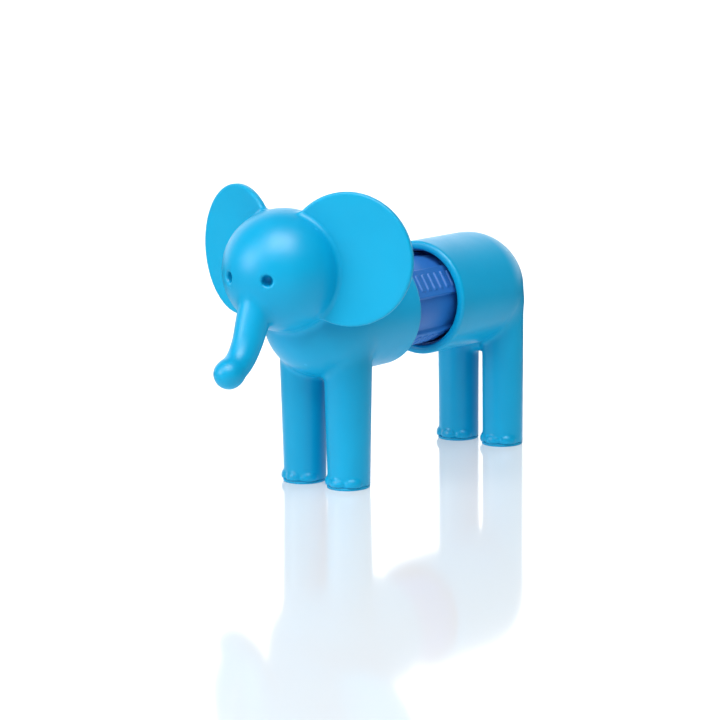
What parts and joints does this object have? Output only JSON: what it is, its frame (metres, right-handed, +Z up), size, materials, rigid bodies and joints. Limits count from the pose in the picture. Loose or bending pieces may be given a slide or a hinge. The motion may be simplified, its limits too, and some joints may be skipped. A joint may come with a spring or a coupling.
{
  "type": "magnetic stretch toy elephant",
  "caption": "Toddler's toy elephant in two halves, head and rump, that twist and pull apart on a round magnetic bar.",
  "frame": {"origin": "on the floor, below the middle of the whole toy's box", "axes": "+Z up, the elephant faces -Y, its left side is +X, the bar's axis runs along Y"},
  "size_m": [0.0746, 0.1344, 0.0867],
  "materials": {
    "body_blue": "satin moulded, cyan blue",
    "ear_blue": "satin moulded, slightly lighter blue",
    "sole_rubber": "soft blue rubber",
    "socket_blue": "satin deep blue",
    "bar_violet": "semi-gloss blue violet",
    "carrier_grey": "natural grey moulded",
    "steel": "turned and stamped, bright",
    "magnet_nickel": "nickel plated"
  },
  "bodies": {
    "bar": {"bar_sleeve": "bar_violet", "magnet_carrier": "carrier_grey", "steel_core": "steel", "front_end_cap": "bar_violet", "rear_end_cap": "bar_violet"},
    "front_magnet_body": {"front_magnet": "magnet_nickel"},
    "front_half": {"front_shell": "body_blue", "left_ear": "ear_blue", "right_ear": "ear_blue", "front_socket_cup": "socket_blue", "front_steel_plate": "steel", "front_plate_cover": "socket_blue", "left_front_sole": "sole_rubber", "right_front_sole": "sole_rubber"},
    "rear_magnet_body": {"rear_magnet": "magnet_nickel"},
    "rear_half": {"rear_shell": "body_blue", "rear_socket_cup": "socket_blue", "rear_steel_plate": "steel", "rear_plate_cover": "socket_blue", "left_rear_sole": "sole_rubber", "right_rear_sole": "sole_rubber"}
  },
  "joints": [
    {"name": "front_twist", "type": "hinge", "parent": "bar", "child": "front_magnet_body", "pos_m": [0, 0.01333, 0.0486], "axis": [0, 1, 0], "continuous": true},
    {"name": "front_pull_off", "type": "slide", "parent": "front_magnet_body", "child": "front_half", "axis": [0, -1, 0], "range_m": [0, 0.03]},
    {"name": "rear_twist", "type": "hinge", "parent": "bar", "child": "rear_magnet_body", "pos_m": [0, 0.01333, 0.0486], "axis": [0, 1, 0], "continuous": true},
    {"name": "rear_pull_off", "type": "slide", "parent": "rear_magnet_body", "child": "rear_half", "axis": [0, 1, 0], "range_m": [0, 0.03]}
  ]
}
